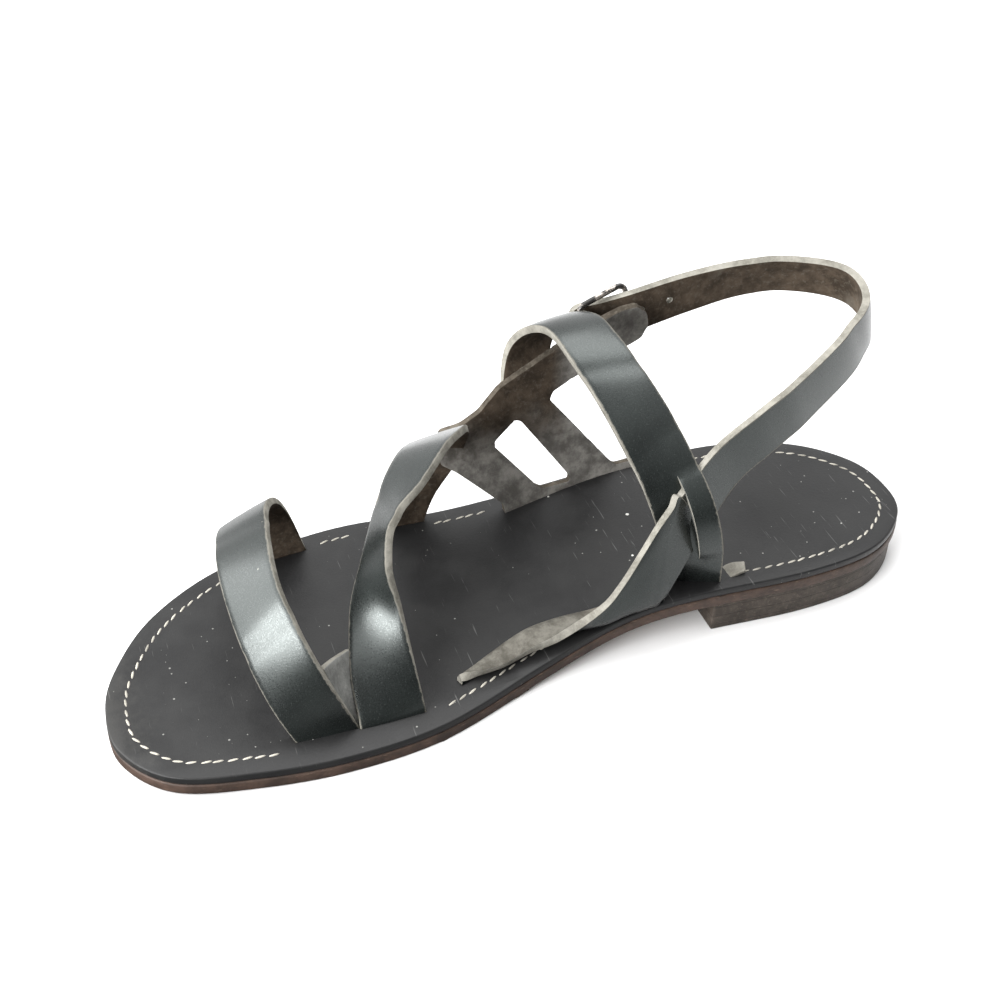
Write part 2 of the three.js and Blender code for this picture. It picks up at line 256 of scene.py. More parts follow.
def outline_points(inset=0.0, steps=10):
    ring = smooth_line([(x, y, 0) for x, y in SOLE_OUTLINE], steps, closed=True)
    count = len(ring)
    moved = []
    for i, p in enumerate(ring):
        tangent = (ring[(i + 1) % count] - ring[i - 1]).normalized()
        moved.append(p + Vector((-tangent.y, tangent.x, 0)) * inset)
    return moved


outline = outline_points()
print("outline:", len(outline), "points; insole top at the heel", round(insole_top(80), 2), "mm")

# %% [markdown]
# A slab of the sole starts as a flat face with the outline's shape. The insole's face is
# inset three times, and the middle ring is sunk a little: that is the groove its stitches
# lie in. Cuts every few millimetres then let the slab bend in the arch, an extrude gives
# it thickness, each corner is lifted to its height, and a small bevel rounds the cut edge.
# The UV map keeps the distance along the foot and the distance from the outline, so that
# wear can follow the rim later.

# %% Slabs of sole leather
SHARP, SMOOTH = math.radians(50), math.radians(180)  # folds beyond these are hard edges
GROOVE_INSET, GROOVE_HALF, GROOVE_DEPTH = 5.6, 0.75, 0.5
PLAIN_INSET = 2.5  # the one inset of a slab without a groove
CUT_ALONG, CUT_ACROSS = 4, 8  # how far apart the cuts lie that let a slab bend
RIM_FOLD = 1.0  # radians: an edge that folds more than this is a corner of the slab
INSOLE_INSET, HEEL_INSET = 0.15, 0.7
HAIR = 0.05  # what is left open between two layers


def everything(bm):
    return bm.verts[:] + bm.edges[:] + bm.faces[:]


def cut_across(bm, axis, places):
    for place in places:
        bmesh.ops.bisect_plane(
            bm, geom=everything(bm), plane_co=Vector(axis) * place, plane_no=axis
        )


def finished_mesh(name, bm, sharp=SHARP):
    bmesh.ops.scale(bm, vec=(MM, MM, MM), verts=bm.verts[:])
    mesh = bpy.data.meshes.new(name)
    bm.to_mesh(mesh)
    bm.free()
    for face in mesh.polygons:
        face.use_smooth = True
    mesh.set_sharp_from_angle(angle=sharp)
    return mesh


def sole_slab(name, bottom, top, inset=0.0, round_over=0.5, keep_behind=None, groove=None):
    bm = bmesh.new()
    sink = bm.verts.layers.float.new("sink")
    rim = bm.verts.layers.float.new("rim")
    inner = bm.faces.new([bm.verts.new(p) for p in outline_points(inset)])
    steps = [(PLAIN_INSET, 0)]
    if groove:
        steps = [(GROOVE_INSET - GROOVE_HALF, 0), (GROOVE_HALF, GROOVE_DEPTH), (GROOVE_HALF, 0)]
    reached = inset
    for step, depth in steps:
        bmesh.ops.inset_region(bm, faces=[inner], thickness=step, use_even_offset=True)
        reached += step
        for v in inner.verts:
            v[sink] = depth
            v[rim] = reached
    if keep_behind is not None:
        bmesh.ops.bisect_plane(
            bm, geom=everything(bm), plane_co=(0, keep_behind, 0), plane_no=(0, -1, 0),
            clear_outer=True,
        )
    cut_across(bm, (0, 1, 0), range(-118, 120, CUT_ALONG))
    cut_across(bm, (1, 0, 0), range(-36, 40, CUT_ACROSS))
    raised = bmesh.ops.extrude_face_region(bm, geom=bm.faces[:])["geom"]
    upper = {v for v in raised if isinstance(v, bmesh.types.BMVert)}
    for v in bm.verts:
        sunk = v[sink] if (v in upper) == (groove == "top") else 0
        v.co.z = top(v.co.y) - sunk if v in upper else bottom(v.co.y) + sunk
    bmesh.ops.recalc_face_normals(bm, faces=bm.faces[:])
    rims = [e for e in bm.edges if len(e.link_faces) == 2 and e.calc_face_angle(0) > RIM_FOLD]
    bmesh.ops.bevel(
        bm, geom=rims, offset=round_over, offset_type="OFFSET", affect="EDGES",
        segments=2, profile=0.5, material=-1,
    )
    uv = bm.loops.layers.uv.new("strip")
    for face in bm.faces:
        for loop in face.loops:
            loop[uv].uv = (loop.vert.co.y * MM, loop.vert[rim] * MM)
    return finished_mesh(name, bm)


outsole = add_piece(
    "outsole_leather",
    sole_slab(
        "outsole_leather", underside, lambda y: underside(y) + OUTSOLE_THICK, groove="bottom"
    ),
    ["outsole"],
)
insole = add_piece(
    "insole_leather",
    sole_slab(
        "insole_leather", lambda y: insole_top(y) - INSOLE_THICK - SEAM + HAIR, insole_top,
        inset=INSOLE_INSET, groove="top",
    ),
    ["insole"],
)
heel_block = add_piece(
    "heel_block_leather",
    sole_slab(
        "heel_block_leather", lambda y: 0.0, lambda y: underside(y) - HAIR,
        inset=HEEL_INSET, round_over=0.4, keep_behind=HEEL_FRONT,
    ),
    ["heel_block"],
)
print("sole pieces:", [(p.name, len(p.data.polygons)) for p in (outsole, insole, heel_block)])

# %% [markdown]
# A strap is a strip of 2.2 mm leather. Its two long edges are smooth lines, a grid is laid
# between them, and Solidify gives it its wall. Solidify can also give the inside and the
# cut edge their own materials, which matters here: the outside is smooth grain, the inside
# is rough flesh, and the cut edge is raw and pale. The UV map holds the distance along the
# strip and the distance from its nearest edge, for the wear that runs along its edges.
# Dents push the strip in or out across its width: each is given by the row it lies on, its
# depth, how far it spreads and how far it slants. A slit splits the strip down its middle.

# %% Strips of strap leather
STRAP_THICK, EDGE_ROUND = 2.2, 0.3
SPLIT_REACH = 0.4  # a point of the slit whose faces reach further back is on its rear half


def lay_strip(name, rows, steps=8, across=10, crown=0.0, dents=(), slit=None, flip=False):
    lines = [smooth_line([row[k] for row in rows], steps) for k in range(len(rows[0]))]
    ribs = [smooth_line(rib, across // (len(lines) - 1)) for rib in zip(*lines)]
    length = lengths_along([rib[len(rib) // 2] for rib in ribs])
    count, width = len(ribs) - 1, len(ribs[0]) - 1
    bm = bmesh.new()
    bmesh.ops.create_grid(bm, x_segments=count, y_segments=width, size=0.5)
    if flip:
        bmesh.ops.reverse_faces(bm, faces=bm.faces[:])
    rib_of, step_of = bm.verts.layers.int.new("rib"), bm.verts.layers.int.new("step")
    outward = bm.verts.layers.float_vector.new("outward")
    for v in bm.verts:
        v[rib_of], v[step_of] = round((0.5 - v.co.x) * count), round((v.co.y + 0.5) * width)
        v.co = ribs[v[rib_of]][v[step_of]]
    bm.normal_update()
    for v in bm.verts:
        v[outward] = v.normal
    if slit:
        first, last, column, behind, ahead = slit
        cut = [
            e for e in bm.edges
            if all(v[step_of] == column and first <= v[rib_of] <= last for v in e.verts)
        ]
        bmesh.ops.split_edges(bm, edges=cut)
    for v in bm.verts:
        t = v[step_of] / width
        lift = crown * (1 - (2 * t - 1) ** 2)
        for row, depth, width_of_dent, slant in dents:
            away = length[v[rib_of]] - length[round(row * steps)] - slant * (t - 0.5)
            lift += depth * math.exp(-((away / width_of_dent) ** 2))
        if slit and first < v[rib_of] < last:
            faces_reach = max(f.calc_center_median().y for f in v.link_faces) - v.co.y
            rear = v[step_of] > column or (v[step_of] == column and faces_reach > SPLIT_REACH)
            spread = math.sin(math.pi * (v[rib_of] - first) / (last - first)) ** 0.8
            lift += (behind if rear else ahead) * spread
        v.co += Vector(v[outward]) * lift
    uv = bm.loops.layers.uv.new("strip")
    for face in bm.faces:
        for loop in face.loops:
            v = loop.vert
            rib = ribs[v[rib_of]]
            edge = min((rib[v[step_of]] - rib[0]).length, (rib[v[step_of]] - rib[-1]).length)
            loop[uv].uv = (length[v[rib_of]] * MM, edge * MM)
    return finished_mesh(name, bm, SMOOTH)


def soften(piece):
    soft = piece.modifiers.new("softened edges", "BEVEL")
    soft.width = EDGE_ROUND * MM
    soft.segments = 2
    soft.limit_method = "ANGLE"
    soft.angle_limit = SHARP
    return piece


def give_wall(piece, thick=STRAP_THICK):
    wall = piece.modifiers.new("wall", "SOLIDIFY")
    wall.thickness = thick * MM
    wall.offset = 0
    wall.use_even_offset = True
    wall.material_offset = 1
    wall.material_offset_rim = 2
    return soften(piece)


print("a strap is", STRAP_THICK, "mm thick")

# %% [markdown]
# The toe strap is a plain arch. The cross strap starts beside it, at the ball of the foot,
# and turns on itself as it rises: its back edge comes up towards the top of the foot, so
# that the thick cut edge shows. It lies flat over the top and comes down on the outer side.
# A small gusset holds the two together where they share a slot. Each row of a table gives
# the front edge and the back edge, from the inner slot over the foot to the outer slot.

# %% Toe strap, cross strap and gusset
TOE_STRAP = [
    ((37, -75.5, 4.3), (37, -58.5, 4.3)),
    ((32, -80, 14.5), (35, -65, 22)),
    ((23, -83.5, 24.5), (27, -69.5, 33.5)),
    ((11, -85, 31.5), (14.5, -72, 41.5)),
    ((-2.5, -85, 35), (0, -71, 44.5)),
    ((-16, -83, 34.5), (-15, -68.5, 43)),
    ((-27.5, -79.5, 28.5), (-27, -64, 35.5)),
    ((-34.5, -75.5, 17.5), (-35, -59.5, 22.5)),
    ((-37, -71.5, 4.3), (-38.5, -55, 4.3)),
]
CROSS_STRAP = [
    ((37.8, -59, 4.2), (37.6, -40.6, 4.2)),
    ((36.8, -58.8, 7.2), (37, -40.8, 8.2)),
    ((28.1, -58.1, 15.7), (31.9, -41.3, 18)),
    ((15.5, -54.1, 24.9), (23.4, -42, 30.1)),
    ((5, -47.4, 32.6), (17.7, -43, 41.6)),
    ((-2.4, -41.3, 42.4), (11.2, -39.6, 51)),
    ((-8.6, -35.7, 49.9), (5, -29.3, 56.5)),
    ((-16, -29.7, 51.2), (-6.3, -18.3, 58.8)),
    ((-24.5, -24.5, 46.2), (-19.4, -9, 52.4)),
    ((-33.2, -22.5, 38.8), (-31, -5, 41.4)),
    ((-38.8, -23.5, 30.8), (-36.5, -7, 28)),
    ((-40.3, -30, 19.6), (-38.3, -13.6, 16)),
    ((-40.3, -34.6, 4.3), (-39, -17.9, 4.3)),
]
GUSSET = [
    ((36.4, -60.8, 4.3), (36.4, -57.8, 4.3)),
    ((35, -63.5, 12.5), (31.8, -59, 11.5)),
    ((32, -66.8, 25), (22, -57, 19.8)),
]
STRAP_PIECES = []


def add_strap(name, nodes=(), thick=STRAP_THICK, **how):
    piece = give_wall(add_piece(name, lay_strip(name, **how), nodes), thick)
    STRAP_PIECES.append(piece)
    print(name, "has", len(piece.data.polygons), "faces before its wall")
    return piece


add_strap(
    "toe_strap", ["upper"], rows=TOE_STRAP, crown=0.3,
    dents=[(2.2, -0.35, 2.2, 5), (4.6, -0.3, 2.5, -4), (6.6, 0.3, 5, 0)],
)
add_strap(
    "cross_strap", rows=CROSS_STRAP, crown=0.2,
    dents=[(5.2, -0.5, 2.0, -4), (3.6, 0.25, 5, 6), (8.0, 0.3, 4, 0)],
)
gusset = add_strap("strap_gusset", rows=GUSSET, across=4, crown=-0.8)

# %% [markdown]
# The instep strap has a slit near its inner end, and the heel strap comes out through it.
# The strip is split along a line of edges and the two halves are pushed apart: the rear
# half bows outward over the heel strap, the front half stays behind it.

# %% Instep strap
INSTEP_STRAP = [
    ((19, 38, 11), (26.5, 52.5, 11)),
    ((23, 35, 26.5), (28.5, 50.5, 29.5)),
    ((22.5, 32, 38.5), (25, 48, 42.5)),
    ((17.5, 29, 49.5), (17, 45, 53.5)),
    ((9, 25.5, 59.5), (6.5, 42, 62.5)),
    ((-2, 22.5, 67.5), (-5, 38.5, 70)),
    ((-14, 19.5, 73.5), (-17.5, 35.5, 75)),
    ((-26, 17.5, 75.5), (-30, 33.5, 75)),
    ((-35, 14, 71), (-41.5, 29, 68.5)),
    ((-39, 10.5, 63.5), (-43, 25.5, 60)),
    ((-36.8, 8, 54), (-36.8, 23, 52.5)),
    ((-36.8, 9, 43.5), (-36.7, 22.5, 50)),
]
add_strap(
    "instep_strap", rows=INSTEP_STRAP, crown=0.3, slit=(7, 23, 6, 3.2, -0.9),
    dents=[(3.6, -0.3, 3.0, 4), (5.4, -0.35, 2.4, -5), (6.5, 0.25, 4, 3)],
)

# %% [markdown]
# Behind the instep strap's inner foot the cut leather of its slot stands up in a small
# torn flap. It is a stub of the same leather, split thin.

# %% Torn flap at the slot
FLAP = [
    ((27.2, 53.6, 14.2), (22.2, 54.2, 14.6)),
    ((27.6, 56.5, 16.2), (23, 57.3, 17)),
    ((27.6, 60, 17), (24.4, 61.2, 17.6)),
]
flap = add_strap("slot_flap", rows=FLAP, across=4, thick=1.1, steps=5)

# %% [markdown]
# The heel strap is one long piece with the root on the inner side. The root comes up out
# of a long slot, leans out over the margin of the sole and folds up; further back it turns
# into the strap, which goes through the slit, round the heel and into the buckle. It is
# laid as two strips that meet at the slit. The root's rows have four places each: in the
# slot, on the crest, at the fold and on the free edge.

# %% Heel strap and its root
HEEL_STRAP = [
    ((23, 38, 47.5), (23.5, 46.5, 34)),
    ((16.8, 51.5, 56), (17.2, 59, 43.2)),
    ((14.8, 65.8, 64.2), (14.8, 72, 50.6)),
    ((10.9, 81, 70.8), (10.2, 86.6, 57.2)),
    ((5, 95.9, 77.5), (3.5, 101.6, 63.6)),
    ((-3.5, 106.6, 81.4), (-6, 111.2, 67.8)),
    ((-15.5, 107.5, 84), (-18.5, 111.5, 71)),
    ((-25.5, 97.5, 84), (-30, 101, 71)),
    ((-32, 82.5, 82.5), (-36, 85.5, 69.5)),
    ((-35, 65.5, 80), (-37, 68, 66.5)),
    ((-37.2, 48, 76), (-37.4, 51.5, 62.8)),
    ((-39.4, 40, 73.6), (-39.4, 44, 60.3)),
    ((-42, 33, 71.4), (-42, 37, 58.1)),
    ((-42.2, 31.2, 67.5), (-42.2, 33.4, 60)),
]
ROOT = [
    ((31.6, -29, 4.3), (31.4, -28.8, 6.6), (31.4, -28.6, 7.2), (31.4, -28.4, 7.8)),
    ((27, -17, 4.5), (27.2, -17, 9), (29.6, -17, 9.3), (32, -17.2, 8.6)),
    ((23.8, -7, 5), (24, -6.5, 10.8), (27.6, -7, 11.8), (31.3, -8, 11.2)),
    ((22.2, 3.5, 6.5), (23.2, 3.5, 11.4), (27.6, 2, 12.2), (31.6, 0.5, 14)),
    ((23, 12.5, 8.5), (24.4, 12.5, 12.6), (30, 11.5, 14), (30.8, 13, 20)),
    ((23.2, 18, 9.5), (24.8, 18, 13.6), (30.7, 16.5, 15.2), (29.9, 19, 26)),
    ((23.2, 24, 10.8), (24.8, 24, 14.8), (30.8, 22, 17), (28, 25.5, 34.5)),
    ((23, 28, 11.6), (24.6, 28, 15.6), (30.8, 26, 17.8), (26.2, 30.5, 40.8)),
    ((22.6, 31, 12), (24.2, 31, 16.2), (30.6, 28.5, 18.2), (24.4, 35, 45)),
    ((22.4, 33, 12.5), (24, 33, 16.8), (30.4, 30.5, 18.4), (23, 38, 47.5)),
    ((22.4, 35, 13), (24, 35, 17), (29.9, 32.5, 18.6), (23.6, 46.5, 34)),
]
heel_strap = add_strap(
    "heel_strap_band", ["heel_strap"], rows=HEEL_STRAP, crown=0.2,
    dents=[(2.5, 0.3, 4, 0), (4.2, -0.3, 3, 3), (7.5, 0.3, 5, 0)],
)
root = add_strap("heel_strap_root", rows=ROOT, across=12, flip=True)

# %% [markdown]
# The outer side panel was cut from one sheet: a rail that climbs back to the buckle, on two
# slanting legs with a window between. Its outline and its window are flat faces first, so
# that a vertex bevel can round their corners; their borders are filled into one sheet,
# which is cut into bands and then bowed outward.

# %% Outer side panel
RAIL = [  # along, up (mm)
    (-13, 31), (-12.5, 42), (-5.5, 43), (0, 46.2), (6.3, 53.6), (17.8, 60.4), (23.7, 64),
    (37.3, 71.4), (43.5, 74), (48.5, 74.4), (51.8, 71.6), (53, 66.5), (51.2, 62.2),
    (46.6, 60), (30, 52.2), (23.4, 48.6), (22.4, 45.6), (42.5, 19.5), (44, 17.8),
    (52, 18.2), (52, 11), (7, 5), (6.2, 12.8), (-8, 27),
]
WINDOW = [
    (11.2, 41), (4.6, 35), (4.6, 32.6), (17.6, 16.4), (19.6, 15.2), (28.2, 15.6),
    (28.8, 17.2), (13, 40.4),
]


RAIL_SIDE, RAIL_BOW = -30.5, 4.5  # where the panel stands, and how far it bows out
BOW_START, BOW_HEIGHT = 12, 75
BAND_HIGH, BAND_LONG = 2, 3  # size of the bands that let it bend
SLIVER = 0.3  # points closer than this are one


def rail_side(up):
    return RAIL_SIDE - RAIL_BOW * math.sin(math.pi * (up - BOW_START) / BOW_HEIGHT)


def side_panel(name):
    bm = bmesh.new()
    for corners, radius in ((RAIL, 1.0), (WINDOW, 0.6)):
        face = bm.faces.new([bm.verts.new((0, y, z)) for y, z in corners])
        bmesh.ops.bevel(
            bm, geom=face.verts[:], offset=radius, offset_type="OFFSET", affect="VERTICES",
            segments=3, profile=0.5, material=-1,
        )
    bmesh.ops.delete(bm, geom=bm.faces[:], context="FACES_ONLY")
    bmesh.ops.triangle_fill(bm, edges=bm.edges[:], use_beauty=True, normal=(1, 0, 0))
    cut_across(bm, (0, 0, 1), range(3, 75, BAND_HIGH))
    cut_across(bm, (0, 1, 0), range(-10, 54, BAND_LONG))
    bmesh.ops.remove_doubles(bm, verts=bm.verts[:], dist=SLIVER)
    border = [[v.co.copy() for v in e.verts] for e in bm.edges if e.is_boundary]
    uv = bm.loops.layers.uv.new("strip")
    for v in bm.verts:
        near = min((v.co - (a + b) / 2).length for a, b in border)
        for loop in v.link_loops:
            loop[uv].uv = (v.co.z * MM, near * MM)
    for v in bm.verts:
        v.co.x = rail_side(v.co.z)
    bmesh.ops.recalc_face_normals(bm, faces=bm.faces[:])
    if sum(f.normal.x * f.calc_area() for f in bm.faces) > 0:
        bmesh.ops.reverse_faces(bm, faces=bm.faces[:])
    return finished_mesh(name, bm, SMOOTH)


rail = give_wall(add_piece("side_panel", side_panel("side_panel"), ()))
STRAP_PIECES.append(rail)
print("side panel:", len(rail.data.polygons), "faces")

# %% [markdown]
# Every strap goes down through a slot in the insole. A slot is a boolean cut: the end of
# the strap is laid again, a little wider and thicker than the leather and carried on
# straight down and up, and it is taken out of the insole. The insole is cut into triangles
# first, because a boolean can go wrong on faces with many corners, and points that come to
# lie together are merged after it. The cutters are only tools, so they are removed once the
# cuts are part of the mesh.

# %% Slots in the insole
SLOT_PLAY, END_PLAY = 0.3, 0.1
SLOT_FLOOR, INSTEP_SLOT_FLOOR = 1.5, 8  # how far down a slot is cut (mm up from the floor)


def slot_cutter(name, mesh):
    cutter = bpy.data.objects.new(name, mesh)
    bpy.context.collection.objects.link(cutter)
    wall = cutter.modifiers.new("wall", "SOLIDIFY")
    wall.thickness = (STRAP_THICK + 2 * SLOT_PLAY) * MM
    wall.offset = 0
    return cutter


def deepened(rows, last_up):
    widened = []
    for front, back in rows:
        a, b = Vector(front), Vector(back)
        out = (b - a).normalized() * END_PLAY
        widened.append((a - out, b + out))
    foot = [p - Vector((0, 0, p.z - last_up)) for p in widened[0]]
    above = [p * 2 - q for p, q in zip(widened[1], widened[0])]
    return [tuple(foot), widened[0], widened[1], tuple(above)]


def clean(mesh, closer_than=0.02):
    bm = bmesh.new()
    bm.from_mesh(mesh)
    bmesh.ops.remove_doubles(bm, verts=bm.verts[:], dist=closer_than * MM)
    bmesh.ops.dissolve_degenerate(bm, edges=bm.edges[:], dist=closer_than * MM)
    bm.to_mesh(mesh)
    bm.free()


def mesh_as_shown(source):
    graph = bpy.context.evaluated_depsgraph_get()
    return bpy.data.meshes.new_from_object(source.evaluated_get(graph))


def settle(piece):
    mesh = mesh_as_shown(piece)
    piece.modifiers.clear()
    piece.data = mesh
    return mesh


def carve(piece, cutters):
    piece.modifiers.new("triangles", "TRIANGULATE")
    for cutter in cutters:
        cut = piece.modifiers.new(cutter.name, "BOOLEAN")
        cut.operation = "DIFFERENCE"
        cut.solver = "EXACT"
        cut.use_self = True
        cut.object = cutter
    mesh = settle(piece)
    for cutter in cutters:
        bpy.data.objects.remove(cutter)
    clean(mesh)
    mesh.set_sharp_from_angle(angle=SHARP)


slot_ends = {
    "toe inner": TOE_STRAP[:2], "toe outer": TOE_STRAP[:-3:-1],
    "cross inner": CROSS_STRAP[:2], "cross outer": CROSS_STRAP[:-3:-1],
    "gusset": GUSSET[:2], "instep": INSTEP_STRAP[:2],
}
cutters = []
for name, rows in slot_ends.items():
    lowest = INSTEP_SLOT_FLOOR if name == "instep" else SLOT_FLOOR
    strip = lay_strip(name, deepened(rows, lowest), steps=4, across=2)
    cutters.append(slot_cutter(name, strip))
cutters.append(slot_cutter("root slot", lay_strip("root slot", ROOT, steps=4, across=12)))
panel_foot = [((rail_side(up), 6.4, up), (rail_side(up), 52.4, up)) for up in (2, 14, 26)]
cutters.append(slot_cutter("panel slot", lay_strip("panel slot", panel_foot, steps=2, across=2)))
carve(insole, cutters)
print("insole with its slots:", len(insole.data.polygons), "faces")

# %% [markdown]
# The holes for the buckle's prong are punched through the middle of the heel strap, 8 mm
# apart. They are cut in the same way, with short cylinders, after the strap has its wall.

# %% Holes in the heel strap
HOLES_ALONG = (36.5, 44.5, 52.5, 60.5)
HOLE_RADIUS, PUNCH_LONG = 1.05, 9


def strap_middle(along):
    outer_end = HEEL_STRAP[9:]
    middle = smooth_line([(Vector(a) + Vector(b)) / 2 for a, b in outer_end], 12)
    return min(middle, key=lambda p: abs(p.y - along))


def punch(name, place):
    bm = bmesh.new()
    bmesh.ops.create_cone(
        bm, cap_ends=True, segments=16, radius1=HOLE_RADIUS, radius2=HOLE_RADIUS,
        depth=PUNCH_LONG,
    )
    sideways = Matrix.Rotation(math.pi / 2, 3, "Y")
    bmesh.ops.rotate(bm, verts=bm.verts[:], cent=(0, 0, 0), matrix=sideways)
    bmesh.ops.translate(bm, verts=bm.verts[:], vec=place)
    for face in bm.faces:
        face.material_index = 2
    tool = bpy.data.objects.new(name, finished_mesh(name, bm))
    bpy.context.collection.objects.link(tool)
    return tool


print("holes at", [round(strap_middle(along).z, 1) for along in HOLES_ALONG], "mm up")

# %% [markdown]
# The seam round the insole is a lockstitch in cream waxed thread. What shows of it is a row
# of short fat dashes in the groove, so one dash is a small sphere, stretched, turned to
# the line and given a little tilt of its own. It is left out where a strap goes through.
# The same seam shows again under the sole.

# %% Lockstitch seam
STITCH_LENGTH, STITCH_WIDE, STITCH_HIGH, STITCH_PITCH = 3.35, 0.8, 0.34, 3.55
STITCH_SIDES, STITCH_RINGS = 8, 5
SEAM_SINK, SOLE_SEAM_SINK, SOLE_SEAM_END = 0.12, 0.3, 46
random.seed(4)
STRAP_FEET = [rows[0] for rows in slot_ends.values()]
STRAP_FEET.append(((RAIL_SIDE, 6, 0), (RAIL_SIDE, 53, 0)))


def near_a_strap(p, clear=5.0):
    for a, b in STRAP_FEET:
        a, b = Vector(a).xy, Vector(b).xy
        t = min(max((p.xy - a).dot(b - a) / (b - a).length_squared, 0), 1)
        if (p.xy - a - (b - a) * t).length < clear:
            return True
    return False


def seam(name, height, until=200.0, skip=True):
    line = outline_points(GROOVE_INSET, 40)
    line.append(line[0])
    total = lengths_along(line)
    count = round(total[-1] / STITCH_PITCH)
    bm = bmesh.new()
    k = 0
    for i in range(count):
        at = (i + 0.5) * total[-1] / count
        while total[k + 1] < at:
            k += 1
        place, heading = line[k].copy(), (line[k + 1] - line[k]).normalized()
        if place.y > until or (skip and near_a_strap(place)):
            continue
        slope = (height(place.y + 1) - height(place.y - 1)) / 2
        place.z = height(place.y)
        forward = Vector((heading.x, heading.y, slope * heading.y)).normalized()
        sideways = Vector((-heading.y, heading.x, 0))
        turn = Matrix((forward, sideways, forward.cross(sideways))).transposed()
        tilt = Matrix.Rotation(math.radians(random.uniform(7, 14)), 3, "Z")
        dip = Matrix.Rotation(math.radians(random.uniform(-4, 4)), 3, "Y")
        size = Matrix.Diagonal((STITCH_LENGTH / 2, STITCH_WIDE / 2, STITCH_HIGH))
        bmesh.ops.create_uvsphere(
            bm, u_segments=STITCH_SIDES, v_segments=STITCH_RINGS, radius=1,
            matrix=Matrix.Translation(place) @ (turn @ tilt @ dip @ size).to_4x4(),
        )
    return finished_mesh(name, bm, SMOOTH)


insole_seam = add_piece(
    "insole_stitches",
    seam("insole_stitches", lambda y: insole_top(y) - SEAM_SINK),
    (),
)
sole_seam = add_piece(
    "outsole_stitches",
    seam(
        "outsole_stitches", lambda y: underside(y) + SOLE_SEAM_SINK,
        until=SOLE_SEAM_END, skip=False,
    ),
    (),
)
for stitches in (insole_seam, sole_seam):
    count = len(stitches.data.polygons) // (STITCH_SIDES * STITCH_RINGS)
    print(stitches.name, "has", count, "stitches")

# %% [markdown]
# The buckle is bent from round wire: a rectangle with rounded corners, hung by its front
# bar in a fold of leather on the rail, and a prong that turns on the same bar. The wire is
# a curve with a round bevel, made into a mesh. The prong's wire thins towards its point.

# %% Buckle
HINGE = Vector((-38.3, 35, 64.5))
BUCKLE_SLOPE = math.radians(17)
BAR_GAP, BUCKLE_WIDE, BUCKLE_CORNER, BUCKLE_LEAN = 15.5, 18.5, 2.4, 1.6
WIRE, PRONG_WIRE, PRONG_TAPER = 1.8, 1.6, 0.35
FOLD_WIDE, FOLD_THICK = 13, 1.1


def at_buckle(along, across, x):
    c, s = math.cos(BUCKLE_SLOPE), math.sin(BUCKLE_SLOPE)
    return Vector((x, HINGE.y + along * c - across * s, HINGE.z + along * s + across * c))


def bent_wire(name, places, thick, closed=False, taper=None):
    curve = bpy.data.curves.new(name, "CURVE")
    curve.dimensions = "3D"
    curve.bevel_depth = thick / 2 * MM
    curve.bevel_resolution = 3
    curve.use_fill_caps = True
    spline = curve.splines.new("POLY")
    spline.points.add(len(places) - 1)
    for i, (point, place) in enumerate(zip(spline.points, places)):
        point.co = (*(place * MM), 1)
        point.radius = taper(i / (len(places) - 1)) if taper else 1
    spline.use_cyclic_u = closed
    rough = bpy.data.objects.new(name, curve)
    bpy.context.collection.objects.link(rough)
    mesh = mesh_as_shown(rough)
    bpy.data.objects.remove(rough)
    mesh.name = name
    clean(mesh)
    for face in mesh.polygons:
        face.use_smooth = True
    return mesh


def frame_places():
    side, places = BUCKLE_WIDE / 2, []
    corners = ((BAR_GAP, side), (0, side), (0, -side), (BAR_GAP, -side))
    for turn, (end, edge) in enumerate(corners):
        for k in range(7):
            angle = math.radians(90) * (turn + k / 6)
            toward = 1 if end == 0 else -1
            along = end + toward * BUCKLE_CORNER + BUCKLE_CORNER * math.cos(angle)
            across = edge - math.copysign(BUCKLE_CORNER, edge) + BUCKLE_CORNER * math.sin(angle)
            places.append(at_buckle(along, across, HINGE.x - BUCKLE_LEAN * along / BAR_GAP))
    return places


PRONG = [(1.5, -40.1), (4.5, -40.6), (9, -41.4), (15.5, -41.9), (17, -41.5)]
FOLD = [
    (-8, -35.5), (-3, -35.9), (0, -36.25), (2.05, -38.3), (0, -40.3), (-3, -39.6), (-8, -36.4),
]
buckle_frame = add_piece(
    "buckle_frame_wire", bent_wire("buckle_frame_wire", frame_places(), WIRE, closed=True),
    ["buckle_frame"],
)
prong_line = smooth_line([at_buckle(along, 0, x) for along, x in PRONG], 6)
buckle_prong = add_piece(
    "buckle_prong_wire",
    bent_wire(
        "buckle_prong_wire", prong_line, PRONG_WIRE, taper=lambda t: 1 - PRONG_TAPER * t ** 2
    ),
    ["buckle_prong"],
)
fold_rows = [
    (at_buckle(along, FOLD_WIDE / 2, x), at_buckle(along, -FOLD_WIDE / 2, x)) for along, x in FOLD
]
add_strap("buckle_fold", rows=fold_rows, thick=FOLD_THICK, across=4, steps=5)
print("buckle:", len(buckle_frame.data.polygons) + len(buckle_prong.data.polygons), "faces")

# %% [markdown]
# The finishes are node materials. Two small helpers keep them readable: one adds a node
# with its settings and inputs, the other mixes two colours by a mask. A third opens a new
# node group with named sockets, for the effects that several leathers share.

# %% Helpers for the finishes
def add_node(tree, kind, inputs=None, **settings):
    made = tree.nodes.new(kind)
    for name, value in settings.items():
        setattr(made, name, value)
    for key, value in (inputs or {}).items():
        if isinstance(value, bpy.types.NodeSocket):
            tree.links.new(value, made.inputs[key])
        else:
            made.inputs[key].default_value = value
    return made


def tint(*rgb):
    return (*rgb, 1)


def mixed(tree, mask, first, second):
    inputs = {0: mask, 6: first, 7: second}
    return add_node(tree, "ShaderNodeMix", inputs, data_type="RGBA").outputs[2]


def mixed_value(tree, mask, first, second):
    return add_node(tree, "ShaderNodeMix", {0: mask, 2: first, 3: second}).outputs[0]


